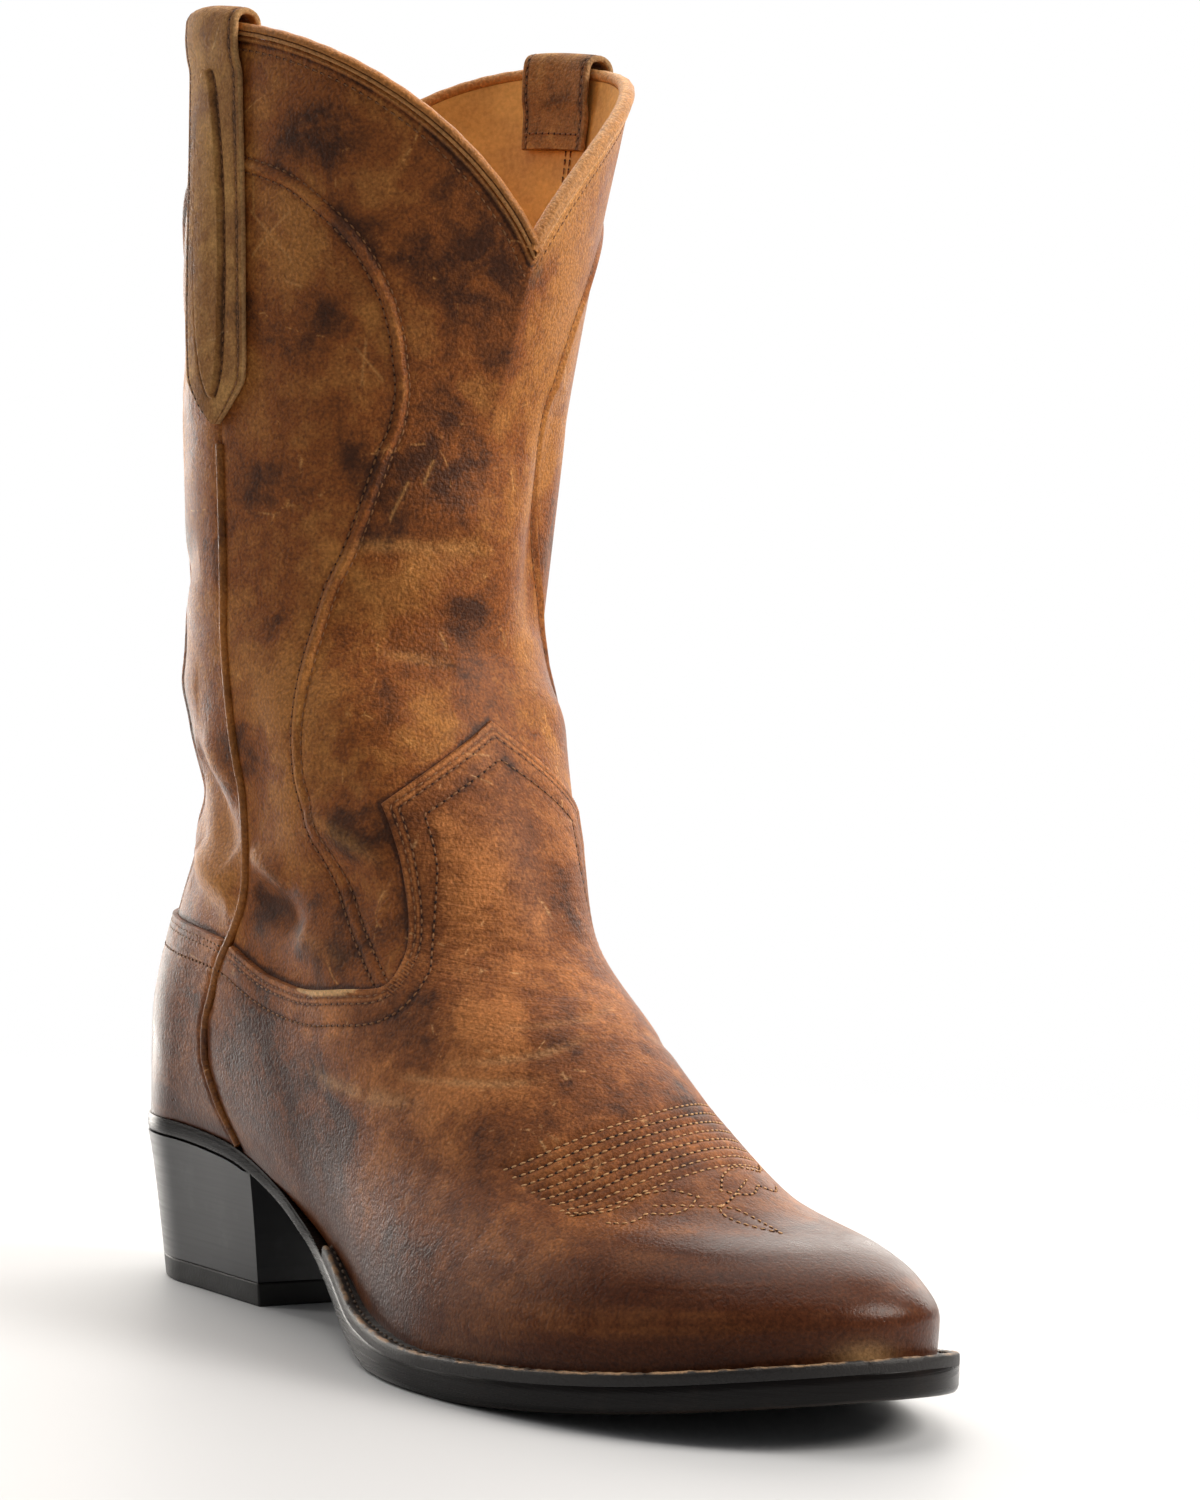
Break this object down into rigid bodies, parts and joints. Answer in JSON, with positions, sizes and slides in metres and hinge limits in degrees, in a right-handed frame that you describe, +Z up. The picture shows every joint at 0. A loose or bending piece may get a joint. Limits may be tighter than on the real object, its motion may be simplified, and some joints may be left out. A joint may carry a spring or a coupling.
{
  "type": "western boot",
  "caption": "Right western boot with a hollow scalloped leather shaft, lasted vamp with a tongue, heel counter, pull straps, welted sole with toe spring and a stacked walking heel.",
  "frame": {"origin": "on the floor under the middle of the boot's bounding box", "axes": "+X from heel to toe, +Y to the wearer's left, which is the inner side of this right boot, +Z up"},
  "size_m": [0.3144, 0.1274, 0.3557],
  "materials": {
    "shaft_leather": "waxed, mottled tan brown, satin",
    "vamp_leather": "burnished red brown, semi-gloss",
    "piping_leather": "rolled edge leather, satin",
    "strap_leather": "olive brown, satin",
    "lining_leather": "golden tan, matt",
    "sole_leather": "edge stained near black, worn satin",
    "heel_rubber": "black, matt"
  },
  "bodies": {
    "root": {"upper": "shaft_leather", "vamp": "vamp_leather", "heel_counter": "vamp_leather", "side_piping_outer": "piping_leather", "side_piping_inner": "piping_leather", "collar_binding": "piping_leather", "pull_strap_outer": "strap_leather", "pull_strap_inner": "strap_leather", "insole": "lining_leather", "outsole": "sole_leather", "welt": "sole_leather", "heel_stack": "sole_leather", "heel_top_lift": "heel_rubber"}
  },
  "joints": []
}
